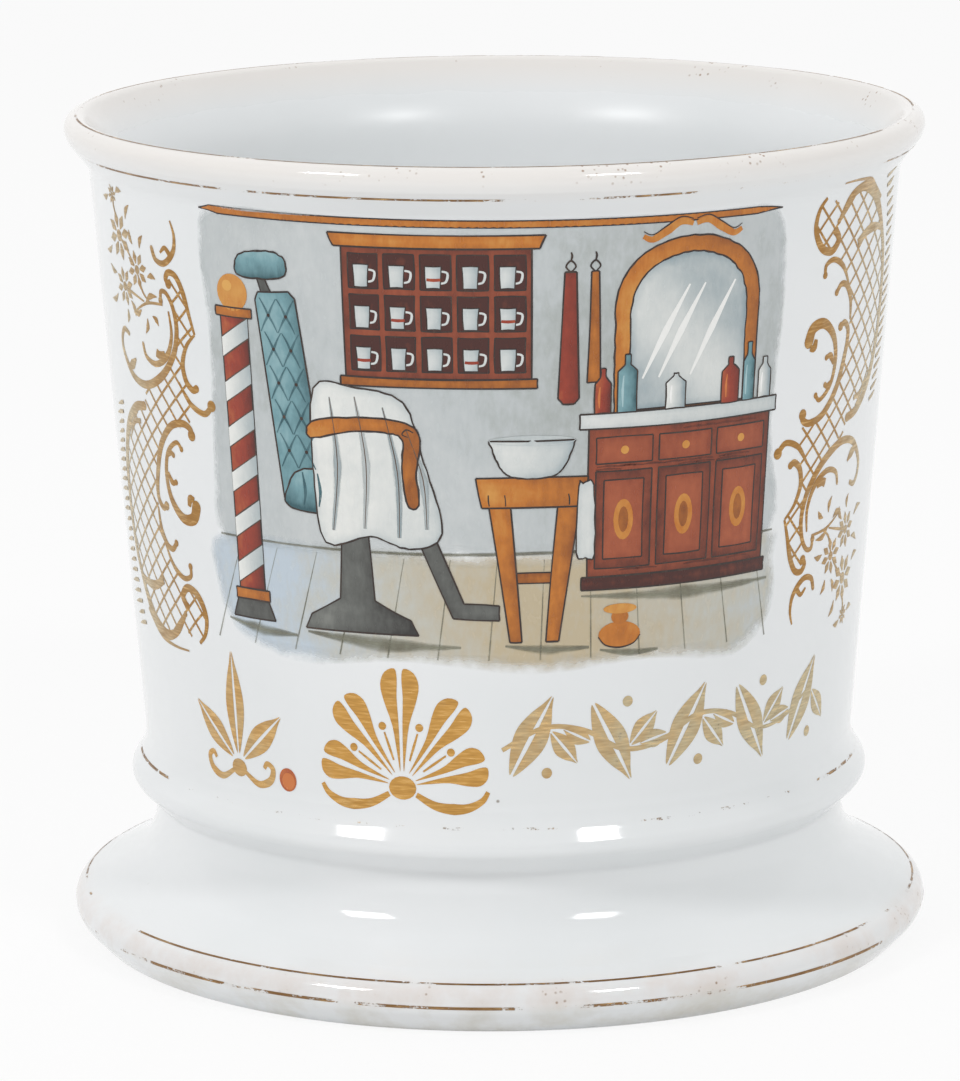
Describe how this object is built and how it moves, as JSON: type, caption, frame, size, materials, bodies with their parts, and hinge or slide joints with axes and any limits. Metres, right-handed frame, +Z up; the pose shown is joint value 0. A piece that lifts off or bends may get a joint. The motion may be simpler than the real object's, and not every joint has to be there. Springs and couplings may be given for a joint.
{
  "type": "occupational shaving mug",
  "caption": "Footed porcelain shaving mug with a loop handle, rolled lip, painted barber's shop picture and gilt ornament on the front.",
  "frame": {"origin": "on the axis of the body, in the plane that the foot ring rests on", "axes": "+Z up along the axis of the body, -Y out of the painted front, +Y towards the handle"},
  "size_m": [0.0958, 0.1156, 0.092],
  "materials": {
    "porcelain": "glossy clear glaze over white hard porcelain",
    "mahogany": "russet brown overglaze enamel",
    "ochre_wood": "ochre overglaze enamel",
    "teal_leather": "teal overglaze enamel",
    "white_linen": "white overglaze enamel",
    "iron_grey": "dark grey overglaze enamel",
    "red_brown": "red-brown overglaze enamel",
    "gilt": "burnished and partly worn overglaze gilding"
  },
  "bodies": {
    "root": {"mug_body": "porcelain", "enamel_mahogany": "mahogany", "enamel_ochre_wood": "ochre_wood", "enamel_teal_leather": "teal_leather", "enamel_white_linen": "white_linen", "enamel_iron_grey": "iron_grey", "enamel_red_brown": "red_brown", "gilding": "gilt"}
  },
  "joints": []
}
